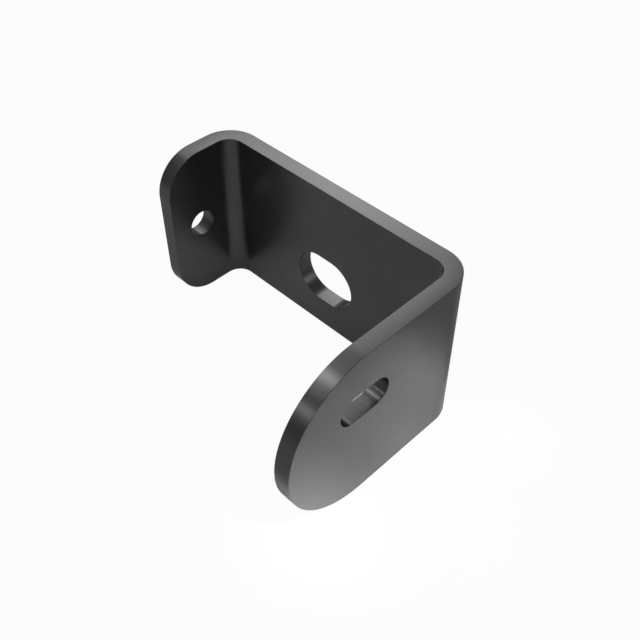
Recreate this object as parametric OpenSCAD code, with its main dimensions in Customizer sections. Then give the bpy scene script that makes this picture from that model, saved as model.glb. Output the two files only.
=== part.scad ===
// Water line bracket: one strip of steel plate, folded twice into a U.
// The web stands at the back with an oblong opening for the line. A short leg and a long leg
// run forward from it, one with a bolt hole and the other with an adjusting slot.
// The bracket stands on its lower edge. Its origin is under the middle of its box, on that edge,
// with +X along the web towards the long leg and +Y towards the back.

/* [Plate] */
// Thickness of the plate
plate_t = 5; // [4:0.5:6]
// Height of the folded strip, from its lower edge to its upper edge
strip_h = 51.6; // [48:0.2:60]
// Inside radius of both bends
bend_r = 5; // [3:0.5:7]
// Edge break that deburring leaves along every cut edge
edge_break = 0.1; // [0.1:0.1:0.8]

/* [Web] */
// Width over the outer faces of the two legs
web_w = 95; // [85:1:130]

/* [Short leg] */
// Length of the short leg, from the back face of the web to its tip
short_leg_l = 29.6; // [27:0.2:45]
// Radius of the short leg's two front corners
short_corner_r = 12.4; // [4:0.2:16]

/* [Long leg] */
// Length of the long leg, from the back face of the web to the top of its round end
long_leg_l = 67.2; // [62:0.2:95]

/* [Bolts] */
// Diameter of the bolt through each leg
bolt_d = 8; // [6:1:10]
// How much wider than its bolt the short leg's round hole is
hole_clearance = 0.6; // [0.4:0.1:1.6]
// How much wider than its bolt the long leg's slot is
slot_clearance = 1; // [0.4:0.1:1.6]
// Distance of the short leg's bolt from the back face of the web
bolt_back = 18.7; // [17:0.1:20]
// Height of the short leg's bolt above the lower edge
bolt_up = 25.8; // [20:0.1:32]
// How far the bolt can slide along the long leg's slot
slot_travel = 8; // [2:1:16]
// Height of the slot above the middle of the strip
slot_rise = 8.9; // [0:0.1:10]

/* [Water line] */
// Outside diameter of the line that passes through the web
line_d = 16; // [10:1:20]
// How much wider than the line its opening is
line_clearance = 1; // [0.5:0.5:3]
// How far the line can move along the web in its opening
line_travel = 5; // [2:1:20]
// Distance of the opening's middle from the middle of the web, towards the short leg
line_offset = 2.4; // [-10:0.1:10]
// Height of the opening's middle above the lower edge
line_up = 18.5; // [16:0.5:35]

/* [Hidden] */
$fn = 96;

// Outside radius of both bends
bend_out_r = bend_r + plate_t;
// The long leg ends in a half circle as high as the strip
long_end_r = strip_h / 2;
// Width of the round bolt hole
bolt_hole_d = bolt_d + hole_clearance;
// Width of the slot
slot_w = bolt_d + slot_clearance;
// The slot is centred on the same line as the long leg's round end
slot_back = long_leg_l - long_end_r;
// Width of the line's opening
line_hole_d = line_d + line_clearance;
// How far a cutter stands out of each face
cut_over = 1;

// Section of the strip: its thickness along x, its height along y, and four broken edges
module strip_section() {
    t = plate_t;
    h = strip_h;
    c = edge_break;
    polygon([[c, 0], [t - c, 0], [t, c], [t, h - c], [t - c, h], [c, h], [0, h - c], [0, c]]);
}

// Straight stretch of the strip along +X, with its thickness towards +Y
module straight(length) {
    rotate([90, 0, 90]) linear_extrude(length) strip_section();
}

// Quarter-turn bend about the Z axis, from +X round to +Y
module bend() {
    rotate_extrude(angle = 90) translate([bend_r, 0]) strip_section();
}

// Section of a leg's tip, from a corner's centre out to the cut edge, with its thickness along y
module rim_section(r) {
    t = plate_t;
    c = edge_break;
    polygon([[0, 0], [r - c, 0], [r, c], [r, t - c], [r - c, t], [0, t]]);
}

// Rounded corner of a leg's tip about the Y axis, from +X round to +Z
module tip_corner(r) {
    translate([0, plate_t, 0]) rotate([90, 0, 0]) rotate_extrude(angle = 90) rim_section(r);
}

// Leg that runs along +X to a tip with two corners of one radius
module leg(length, corner_r) {
    front_h = strip_h - 2 * corner_r;
    straight(length - corner_r);
    translate([length - corner_r, 0, 0]) {
        translate([0, 0, strip_h - corner_r]) tip_corner(corner_r);
        translate([0, plate_t, corner_r]) rotate([180, 0, 0]) tip_corner(corner_r);
        if (front_h > 0) translate([0, 0, corner_r]) linear_extrude(front_h) rim_section(corner_r);
    }
}

// The strip as it is folded, with the back face of the web on y = 0 and the legs towards -Y
module folded_strip() {
    translate([bend_out_r, -plate_t, 0]) straight(web_w - 2 * bend_out_r);
    translate([bend_out_r, -bend_out_r, 0]) rotate([0, 0, 90]) bend();
    translate([web_w - bend_out_r, -bend_out_r, 0]) bend();
    translate([0, -bend_out_r, 0]) rotate([0, 0, -90])
        leg(short_leg_l - bend_out_r, short_corner_r);
    translate([web_w - plate_t, -bend_out_r, 0]) rotate([0, 0, -90])
        leg(long_leg_l - bend_out_r, long_end_r);
}

// Half the section of a hole through the plate, with both its rims broken like the other edges
module hole_section(d) {
    r = d / 2;
    t = plate_t;
    mouth_r = r + edge_break + cut_over;
    polygon([
        [0, -cut_over], [mouth_r, -cut_over], [r, edge_break],
        [r, t - edge_break], [mouth_r, t + cut_over], [0, t + cut_over]
    ]);
}

// Cutter for a round hole, from z = 0 through the plate
module round_hole(d) {
    rotate_extrude() hole_section(d);
}

// Cutter for an oblong hole along X: a round hole carried along its travel
module oblong_hole(d, travel) {
    for (side = [-1, 1]) translate([side * travel / 2, 0, 0]) round_hole(d);
    translate([-travel / 2, 0, 0]) rotate([90, 0, 90]) linear_extrude(travel) {
        hole_section(d);
        mirror([1, 0]) hole_section(d);
    }
}

module bracket() {
    color("#38383a")
    translate([-web_w / 2, long_leg_l / 2, 0])
    difference() {
        folded_strip();
        // Bolt hole through the short leg
        translate([0, -bolt_back, bolt_up]) rotate([90, 0, 90]) round_hole(bolt_hole_d);
        // Adjusting slot through the long leg
        translate([web_w - plate_t, -slot_back, strip_h / 2 + slot_rise]) rotate([90, 0, 90])
            oblong_hole(slot_w, slot_travel);
        // Opening for the line through the web
        translate([web_w / 2 - line_offset, 0, line_up]) rotate([90, 0, 0])
            oblong_hole(line_hole_d, line_travel);
    }
}

bracket();
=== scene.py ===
# %% [markdown]
# Water line bracket
#
# The real bracket is one strip of 5 mm steel plate. It was cut by laser, its edges were broken, it was
# folded twice into a U and then blackened. It has no second piece, so the work here isn't to add parts.
# It is to show the strip's true edges, to give each surface the finish that its making left, and to
# light a dark metal so that it still reads.
#
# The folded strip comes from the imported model, and its shape is already the real one, so it stays as it
# is and only its shading and its materials are set here. Lengths are in metres, in the bracket's own
# frame: X runs along the web towards the long leg, Y towards the back of the web, and Z up.

# %% Load the folded strip
import math

import bpy
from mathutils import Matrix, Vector


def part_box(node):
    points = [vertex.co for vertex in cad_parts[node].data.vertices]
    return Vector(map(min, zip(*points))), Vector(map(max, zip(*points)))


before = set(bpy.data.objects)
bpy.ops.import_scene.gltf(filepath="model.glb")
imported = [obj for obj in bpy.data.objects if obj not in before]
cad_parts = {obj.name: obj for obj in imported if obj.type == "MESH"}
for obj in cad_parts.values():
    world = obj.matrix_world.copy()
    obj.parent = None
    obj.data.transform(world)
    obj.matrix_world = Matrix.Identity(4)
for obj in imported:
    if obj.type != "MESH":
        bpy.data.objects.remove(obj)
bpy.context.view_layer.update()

MM = 0.001

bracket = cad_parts["bracket"]
lowest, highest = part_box("bracket")
size_mm = [round(side / MM, 2) for side in highest - lowest]
print("folded strip:", len(bracket.data.polygons), "faces,", size_mm, "mm")

# %% [markdown]
# The camera
#
# The bracket is seen from the front right and from above, 45 degrees round and 45 degrees up, where both
# legs, the web and the upper edge all show. The picture's vanishing points give the focal length, and
# the strip's apparent size gives the distance. An aim point and a distance are easier to read and to
# change than a bare position, so the camera is placed by them.

# %% Camera
PICTURE_PX = 640
FOCAL_PX = 866.6
SENSOR_MM = 36.0
CAMERA_TURN = math.radians(45)
CAMERA_RISE = math.radians(45)
CAMERA_DISTANCE = 242.5 * MM
CAMERA_AIM = Vector((12.92, 11.34, 24.68)) * MM
NEAREST_SEEN = 10 * MM


def direction(turn, rise):
    """Unit vector at an angle round from the front, towards the long leg's side, and an angle up."""
    level = math.cos(rise)
    return Vector((math.sin(turn) * level, -math.cos(turn) * level, math.sin(rise)))


scene = bpy.context.scene
camera_data = bpy.data.cameras.new("camera")
camera_data.sensor_width = SENSOR_MM
camera_data.lens = FOCAL_PX / PICTURE_PX * SENSOR_MM
camera_data.clip_start = NEAREST_SEEN
camera = bpy.data.objects.new("camera", camera_data)
camera.location = CAMERA_AIM + direction(CAMERA_TURN, CAMERA_RISE) * CAMERA_DISTANCE
camera.rotation_euler = (math.pi / 2 - CAMERA_RISE, 0, CAMERA_TURN)
scene.collection.objects.link(camera)
scene.camera = camera
scene.view_settings.view_transform = "Standard"
print("camera:", round(camera_data.lens, 2), "mm lens at", [round(c, 4) for c in camera.location])

# %% [markdown]
# Smooth shading for true folds
#
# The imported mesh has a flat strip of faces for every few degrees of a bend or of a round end, and a
# narrow face for each 0.1 mm broken edge. Shaded flat, the bends would show as facets. Shaded smooth
# without care, the wide flats would look dented where they meet the narrow faces. A weighted normal
# modifier takes each corner's normal from its largest faces: the flats stay flat, the bends turn evenly,
# and a broken edge reads as a small rounded one. The weld before it joins the corners that the file
# keeps apart. Both are modifiers, so the strip's own points aren't touched.

# %% Shading
WELD_DISTANCE = 0.001 * MM
FULL_WEIGHT = 100

bracket.data.shade_smooth()
weld = bracket.modifiers.new("join_corners", "WELD")
weld.merge_threshold = WELD_DISTANCE
normals = bracket.modifiers.new("even_normals", "WEIGHTED_NORMAL")
normals.mode = "FACE_AREA_WITH_ANGLE"
normals.weight = FULL_WEIGHT
print("modifiers:", [modifier.name for modifier in bracket.modifiers])

# %% [markdown]
# Which process made each face
#
# Three processes left the strip's surfaces. The mill rolled its two broad faces, the laser cut its
# edges and holes, and a deburring tool broke the sharp corners between them. Each looks a little
# different under the black, so each gets a material of its own. Faces could be picked by hand, but a
# rule sorts them all at once, and still does after a size has changed. The rule is how far a face turns
# from the strip's thickness: a rolled face looks straight along it, a cut face square to it, and a
# broken edge halfway between. On the legs the thickness runs along X, on the web along Y, and in a bend
# it points away from the bend's centre.

# %% Sort the faces
BEND_OUT_R = 10 * MM
ROLLED, CUT, BROKEN = range(3)
ROLLED_ABOVE = math.cos(math.radians(22))
CUT_BELOW = math.cos(math.radians(68))
bend_x = highest.x - BEND_OUT_R
bend_y = highest.y - BEND_OUT_R


def thickness_direction(point):
    """Unit vector through the strip's thickness at a point, with X and Y only."""
    if point.y < bend_y:
        return Vector((1, 0, 0))
    if abs(point.x) < bend_x:
        return Vector((0, 1, 0))
    centre = Vector((math.copysign(bend_x, point.x), bend_y, point.z))
    return (point - centre).normalized()


def process_of(face):
    """Which process made a face of the strip."""
    along = abs(face.normal.dot(thickness_direction(face.center)))
    if along > ROLLED_ABOVE:
        return ROLLED
    return CUT if along < CUT_BELOW else BROKEN


processes = [process_of(face) for face in bracket.data.polygons]
print("rolled, cut and broken faces:", [processes.count(kind) for kind in (ROLLED, CUT, BROKEN)])

# %% [markdown]
# Colours and nodes
#
# Colours are written as hex codes, as a picture editor shows them, and one function turns them to the
# linear values that a shader wants. A second small function adds a node with its settings and links in
# one line each, so that a material reads from top to bottom. It finds a socket by its name, or by its
# number where several sockets share a name, as they do in a mix of two colours.

# %% Helpers
# A mix node's sockets for its two colours, and the one for the colour that comes out
MIX_FROM, MIX_TO, MIX_RESULT = 6, 7, 2


def linear(hex_code):
    """Linear red, green, blue and alpha of an sRGB hex code, by the sRGB standard's own curve."""
    channels = [int(hex_code[i:i + 2], 16) / 255 for i in (1, 3, 5)]
    return [c / 12.92 if c <= 0.04045 else ((c + 0.055) / 1.055) ** 2.4 for c in channels] + [1.0]


def add(tree, kind, settings=None, links=None):
    """Adds a shader node. A setting or a link names a socket, or a property where no socket fits."""
    node = tree.nodes.new("ShaderNode" + kind)
    for name, value in (settings or {}).items():
        if isinstance(name, int) or name in node.inputs:
            node.inputs[name].default_value = value
        else:
            setattr(node, name, value)
    for name, source in (links or {}).items():
        tree.links.new(source, node.inputs[name])
    return node


def new_material(name):
    """An empty node material and its tree."""
    material = bpy.data.materials.new(name)
    material.use_nodes = True
    material.node_tree.nodes.clear()
    return material, material.node_tree


print("#808080 in linear light:", [round(channel, 3) for channel in linear("#808080")])

# %% [markdown]
# The finish: black oxide on steel
#
# Blackening turns the outermost micrometre of the steel into magnetite. Magnetite has a refractive index
# of about 2.4, so it reflects about 17 parts in 100 at every colour, and what isn't reflected is
# absorbed. To the eye that is a dark neutral grey metal with almost no colour of its own: its tone comes
# from what it mirrors, and it falls nearly to black in a corner where it can only mirror itself. So the
# shader is a full metal with a base colour at magnetite's reflectance, and no coat or diffuse paint.
#
# The roll marks, the laser's ridges and the grain all lie in the flat sheet before it is folded. To lay
# them that way, the folded strip is measured as if it were still flat: the distance along it, from the
# middle of the web round a bend and down a leg, and the height across it. Neither changes through the
# thickness, so a pattern on a cut edge runs straight across that edge, as a laser's ridges do.

# %% Measure the strip as a flat sheet
PLATE_T = 5 * MM
BEND_MID_R = BEND_OUT_R - PLATE_T / 2


def flat_sheet(tree):
    """Place on the flat sheet in metres: X along the strip from the web's middle, Y up across it."""
    place = add(tree, "TexCoord").outputs["Object"]
    axes = add(tree, "SeparateXYZ", links={"Vector": place}).outputs
    side = add(tree, "Math", {"operation": "SIGN"}, {0: axes["X"]}).outputs[0]
    across = add(tree, "Math", {"operation": "ABSOLUTE"}, {0: axes["X"]}).outputs[0]
    web = add(tree, "Math", {"operation": "MINIMUM", 1: bend_x}, {0: across}).outputs[0]
    past_x = add(tree, "Math", {"operation": "SUBTRACT", 1: bend_x}, {0: across}).outputs[0]
    past_y = add(tree, "Math", {"operation": "SUBTRACT", 1: bend_y}, {0: axes["Y"]}).outputs[0]
    out_x = add(tree, "Math", {"operation": "MAXIMUM", 1: 0.0}, {0: past_x}).outputs[0]
    out_y = add(tree, "Math", {"operation": "MAXIMUM", 1: 0.0}, {0: past_y}).outputs[0]
    angle = add(tree, "Math", {"operation": "ARCTAN2"}, {0: out_x, 1: out_y}).outputs[0]
    bent = add(tree, "Math", {"operation": "MULTIPLY_ADD", 1: BEND_MID_R}, {0: angle, 2: web}).outputs[0]
    down = add(tree, "Math", {"operation": "MINIMUM", 1: 0.0}, {0: past_y}).outputs[0]
    along = add(tree, "Math", {"operation": "SUBTRACT"}, {0: bent, 1: down}).outputs[0]
    signed = add(tree, "Math", {"operation": "MULTIPLY"}, {0: along, 1: side}).outputs[0]
    return add(tree, "CombineXYZ", links={"X": signed, "Y": axes["Z"]}).outputs[0]


long_side = bend_x + math.pi / 2 * BEND_MID_R + bend_y - lowest.y
print("flat sheet:", round(long_side / MM, 1), "mm from the web's middle to the long leg's end")

# %% [markdown]
# The rolled faces
#
# Pickled hot-rolled plate is smooth but not a mirror: its grain is a few hundredths of a millimetre
# across, slightly drawn out along the strip by the rolls. Grain that fine is below one pixel, so the
# roughness stands for it, and a grain of 0.9 mm by 0.45 mm is drawn over it very faintly, as coarse as
# it needs to be to show at all. The oxide also takes a little darker in some places than in others, in
# clouds about 20 mm wide. A picture of real plate could give both, but noise on the flat sheet follows
# the folds without a seam.

# %% Rolled face
OXIDE = "#747475"
OXIDE_DEEP = "#6c6c6d"
SATIN = 0.29
SATIN_DRIFT = 0.012
GRAIN_ALONG = 0.9 * MM
GRAIN_ACROSS = 0.45 * MM
GRAIN_DEPTH = 0.0006 * MM
GRAIN_DETAIL = 2.0
CLOUD_SIZE = 20 * MM
CLOUD_DETAIL = 3.0


def rolled_face():
    """Blackened steel as the mill's rolls left it: satin, with a faint grain along the strip."""
    material, tree = new_material("black_oxide_on_rolled_face")
    sheet = flat_sheet(tree)
    grains_per_metre = (1 / GRAIN_ALONG, 1 / GRAIN_ACROSS, 0)
    in_grains = add(tree, "VectorMath", {"operation": "MULTIPLY", 1: grains_per_metre},
                    {0: sheet}).outputs[0]
    grain = add(tree, "TexNoise", {"noise_dimensions": "2D", "Scale": 1.0, "Detail": GRAIN_DETAIL},
                {"Vector": in_grains}).outputs[0]
    cloud = add(tree, "TexNoise",
                {"noise_dimensions": "2D", "Scale": 1 / CLOUD_SIZE, "Detail": CLOUD_DETAIL},
                {"Vector": sheet}).outputs[0]
    colour = add(tree, "Mix", {"data_type": "RGBA", MIX_FROM: linear(OXIDE_DEEP), MIX_TO: linear(OXIDE)},
                 {0: cloud}).outputs[MIX_RESULT]
    roughness = add(tree, "MapRange", {"To Min": SATIN - SATIN_DRIFT, "To Max": SATIN + SATIN_DRIFT},
                    {"Value": cloud}).outputs[0]
    bump = add(tree, "Bump", {"Distance": GRAIN_DEPTH}, {"Height": grain}).outputs[0]
    shader = add(tree, "BsdfPrincipled", {"Metallic": 1.0},
                 {"Base Color": colour, "Roughness": roughness, "Normal": bump}).outputs[0]
    add(tree, "OutputMaterial", links={"Surface": shader})
    return material


finishes = [rolled_face()]
print("made:", finishes[ROLLED].name)

# %% [markdown]
# The cut edges
#
# A laser leaves fine ridges where it cut, straight across the plate's thickness, and they mirror a
# little less sharply than the rolled face. Real ridges are about 0.2 mm apart. They are drawn 0.6 mm
# apart here, with uneven spacing, because anything finer would vanish between two pixels. They could be
# cut into the mesh, but ridges this shallow don't show in the outline, so a bump is enough.

# %% Cut edge
CUT_SATIN = 0.3
RIDGE_PITCH = 0.6 * MM
RIDGE_DEPTH = 0.0008 * MM
RIDGE_DETAIL = 1.0


def cut_edge():
    """Blackened steel as the laser left it: faint ridges straight across the thickness."""
    material, tree = new_material("black_oxide_on_laser_cut_edge")
    ridges = add(tree, "TexNoise",
                 {"noise_dimensions": "2D", "Scale": 1 / RIDGE_PITCH, "Detail": RIDGE_DETAIL},
                 {"Vector": flat_sheet(tree)}).outputs[0]
    bump = add(tree, "Bump", {"Distance": RIDGE_DEPTH}, {"Height": ridges}).outputs[0]
    colour = add(tree, "Mix", {"data_type": "RGBA", MIX_FROM: linear(OXIDE_DEEP), MIX_TO: linear(OXIDE)},
                 {0: ridges}).outputs[MIX_RESULT]
    shader = add(tree, "BsdfPrincipled", {"Metallic": 1.0, "Roughness": CUT_SATIN},
                 {"Base Color": colour, "Normal": bump}).outputs[0]
    add(tree, "OutputMaterial", links={"Surface": shader})
    return material


finishes.append(cut_edge())
print("made:", finishes[CUT].name)

# %% [markdown]
# The broken edges
#
# Deburring burnishes the corner that it breaks, and handling keeps it rubbed, so the oxide there is a
# shade lighter and a little smoother. It is what draws the thin line of light along an edge. Wear like
# this is often faked by looking for sharp corners while shading. Here the break is a real face of the
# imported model, so it only needs a finish of its own.

# %% Broken edge
OXIDE_RUBBED = "#7c7c7d"
RUBBED_SATIN = 0.28
RUB_SIZE = 3 * MM
RUB_DETAIL = 2.0


def broken_edge():
    """Blackened steel on the broken corners: a shade lighter and smoother, unevenly rubbed."""
    material, tree = new_material("black_oxide_on_deburred_edge")
    rub = add(tree, "TexNoise", {"noise_dimensions": "2D", "Scale": 1 / RUB_SIZE, "Detail": RUB_DETAIL},
              {"Vector": flat_sheet(tree)}).outputs[0]
    colour = add(tree, "Mix", {"data_type": "RGBA", MIX_FROM: linear(OXIDE), MIX_TO: linear(OXIDE_RUBBED)},
                 {0: rub}).outputs[MIX_RESULT]
    shader = add(tree, "BsdfPrincipled", {"Metallic": 1.0, "Roughness": RUBBED_SATIN},
                 {"Base Color": colour}).outputs[0]
    add(tree, "OutputMaterial", links={"Surface": shader})
    return material


finishes.append(broken_edge())
print("made:", finishes[BROKEN].name)

# %% [markdown]
# Dressing the strip
#
# On the real bracket the three finishes meet in clean lines along its edges. One material with a painted
# mask could show them all, but the mask's lines would blur. With a material for each face, a finish ends
# exactly where its faces do. The materials go on in the order in which the processes are numbered, so
# the number of a face's process is also the number of its material.

# %% Dress the strip
bracket.data.materials.clear()
for finish in finishes:
    bracket.data.materials.append(finish)
bracket.data.polygons.foreach_set("material_index", processes)
print("finishes:", [material.name for material in bracket.data.materials])

# %% [markdown]
# The floor
#
# The bracket lies on a wide sheet of pale matt card. A dark metal shows what is around it, so the card is
# a real surface that takes the lamps' light and the bracket's shadow, and the lower faces mirror it. To
# the camera the card is nearly white: most of what the camera sees there is plain white of strength 1,
# and the rest is the lit card, which keeps a faint shadow. The picture's bracket mirrors a dim card, so
# rays from the metal see only a twentieth of that white.

# %% Floor
FLOOR_SIZE = 8.0
CARD = "#e7e7e7"
WHITE = "#ffffff"
WHITE_TO_CAMERA = 0.96
WHITE_TO_METAL = 0.05


def pale_card():
    """Matt card that looks nearly white to the camera and still shows the bracket's shadow."""
    material, tree = new_material("pale_matt_card")
    ray = add(tree, "LightPath").outputs
    card = add(tree, "BsdfDiffuse", {"Color": linear(CARD)}).outputs[0]
    white = add(tree, "Emission", {"Color": linear(WHITE), "Strength": 1.0}).outputs[0]
    mirrored = add(tree, "Math", {"operation": "ADD"},
                   {0: ray["Is Glossy Ray"], 1: ray["Is Transmission Ray"]}).outputs[0]
    to_metal = add(tree, "Math", {"operation": "MULTIPLY", 1: WHITE_TO_METAL}, {0: mirrored}).outputs[0]
    share = add(tree, "Math", {"operation": "MULTIPLY_ADD", 1: WHITE_TO_CAMERA},
                {0: ray["Is Camera Ray"], 2: to_metal}).outputs[0]
    mixed = add(tree, "MixShader", links={0: share, 1: card, 2: white}).outputs[0]
    add(tree, "OutputMaterial", links={"Surface": mixed})
    return material


bpy.ops.mesh.primitive_plane_add(size=FLOOR_SIZE, location=(0, 0, lowest.z))
floor = bpy.context.object
floor.name = "floor"
floor.data.materials.append(pale_card())
print("floor:", FLOOR_SIZE, "m wide at", round(lowest.z / MM, 3), "mm")

# %% [markdown]
# The light
#
# A dark metal is lit by giving it things to mirror. A dim even surround keeps the folds from going
# black. The camera alone sees it as plain white, so that a low view has a white background too. Soft
# panels stand behind on the left, where the strip's upper edge mirrors them: one wide band, and others
# over it that make the edge a little lighter in the middle of its length. Dimmer ones follow round to
# the left for the rounded corner of the short leg. Three in front on the left draw the bright stripe
# round the long leg's end, and one on the right gives the far side of that end a faint rim. A picture of
# a studio could surround the bracket instead, but each panel can be set for the one fold that mirrors it.
#
# A panel's numbers are its turn and rise in degrees, its width and height in millimetres, and its
# radiance, where 1 is white card in plain light. A matt panel sends out pi times its radiance from each
# square metre, and that gives its power in watts.

# %% Surround and panels
LIGHT_AIM = Vector((12, 0, 24)) * MM
PANEL_DISTANCE = 800 * MM
SURROUND = 0.135
HORIZON = 1.0
PANELS = {
    "behind_wide": (-139, 34, 340, 140, 1.65),
    "behind_left": (-127, 38, 340, 140, 1.22),
    "behind_high": (-143, 41, 200, 200, 1.0),
    "behind_top": (-137, 52, 160, 100, 0.9),
    "left_low": (-112, 42, 120, 120, 0.8),
    "left_middle": (-100, 45, 160, 160, 1.22),
    "left_high": (-110, 62, 300, 300, 0.46),
    "left_bright": (-64, 60, 140, 140, 5.7),
    "front_left_high": (-44, 50, 140, 140, 1.3),
    "front_left_low": (-28, 30, 100, 100, 4.2),
    "right_edge": (125, 30, 300, 300, 0.8),
}

world = bpy.data.worlds.new("surround")
world.use_nodes = True
world.node_tree.nodes.clear()
to_camera = add(world.node_tree, "LightPath").outputs["Is Camera Ray"]
strength = add(world.node_tree, "Math", {"operation": "MULTIPLY_ADD", 1: HORIZON - SURROUND, 2: SURROUND},
               {0: to_camera}).outputs[0]
around = add(world.node_tree, "Background", {"Color": linear(WHITE)}, {"Strength": strength}).outputs[0]
add(world.node_tree, "OutputWorld", links={"Surface": around})
scene.world = world


def set_up(name, lamp_data, aim, turn, rise, distance):
    """Stands a lamp at an angle and a distance from its aim, facing it and hidden from the camera."""
    away = direction(math.radians(turn), math.radians(rise))
    lamp = bpy.data.objects.new(name, lamp_data)
    lamp.location = aim + away * distance
    lamp.rotation_euler = (-away).to_track_quat("-Z", "Y").to_euler()
    lamp.visible_camera = False
    scene.collection.objects.link(lamp)
    print(name, "lamp:", round(lamp_data.energy, 3), "W")


for name, (turn, rise, width, height, radiance) in PANELS.items():
    panel = bpy.data.lights.new(name, "AREA")
    panel.shape = "RECTANGLE"
    panel.size = width * MM
    panel.size_y = height * MM
    panel.energy = math.pi * panel.size * panel.size_y * radiance
    set_up(name, panel, LIGHT_AIM, turn, rise, PANEL_DISTANCE)

# %% [markdown]
# The pools of light
#
# From this camera an upright face mirrors the card at its foot. The picture shows the long leg's outer
# face brightest low on the round end and darker towards the bend. So a spot lamp on the right lays a
# wide soft pool on the card beside that leg. Steeper ones add a bright pool by its round end, a dim one
# before the bend and a small one past it. The leg itself keeps most of that light out of the U, which is
# why the web and the short leg mirror a much darker card. Two faint steep pools in front of those two
# lighten them a little, more towards the middle. Two wide soft ones, behind the web and outside the short
# leg, do the same for the two outer faces that this camera doesn't see. Paler and darker paint on the
# card wouldn't do instead: in this dim surround even white paint is too dark to mirror as bright.
#
# A pool's numbers are the point it is aimed at, its radius and its lamp's radius, all in millimetres, the
# lamp's turn and rise in degrees, and its level: what white card would show in the middle of the pool, if
# it faced the lamp. The larger the lamp, the softer the pool's rim. A spot lamp's power counts as spread
# over a whole ball, 4 pi times the distance squared, and matt card shows one part in pi of what falls on
# it. So the power in watts is the level times 4 pi squared times the distance squared.

# %% Spot lamps
SPOT_DISTANCE = 600 * MM
SOFT_CONE = 1.0
POOLS = {
    "beside_long_leg": ((55, 0, 0), 30, 30, 90, 45, 1.55),
    "by_round_end": ((50, -28, 0), 20, 15, 105, 60, 1.95),
    "before_the_bend": ((50, 16, 0), 20, 15, 105, 60, 0.6),
    "past_the_bend": ((66, 36, 0), 15, 10, 105, 60, 0.92),
    "at_the_web": ((-12, 20, 0), 35, 20, 30, 75, 0.11),
    "at_the_short_leg": ((-30, 18, 0), 20, 10, 30, 75, 0.14),
    "behind_the_web": ((-10, 115, 0), 40, 40, 180, 60, 0.4),
    "outside_the_short_leg": ((-135, 40, 0), 30, 30, -90, 60, 0.45),
}

for name, (aim, pool_radius, lamp_radius, turn, rise, level) in POOLS.items():
    spot = bpy.data.lights.new(name, "SPOT")
    spot.spot_size = 2 * math.atan(pool_radius * MM / SPOT_DISTANCE)
    spot.spot_blend = SOFT_CONE
    spot.shadow_soft_size = lamp_radius * MM
    spot.energy = 4 * math.pi ** 2 * SPOT_DISTANCE ** 2 * level
    set_up(name, spot, Vector(aim) * MM, turn, rise, SPOT_DISTANCE)
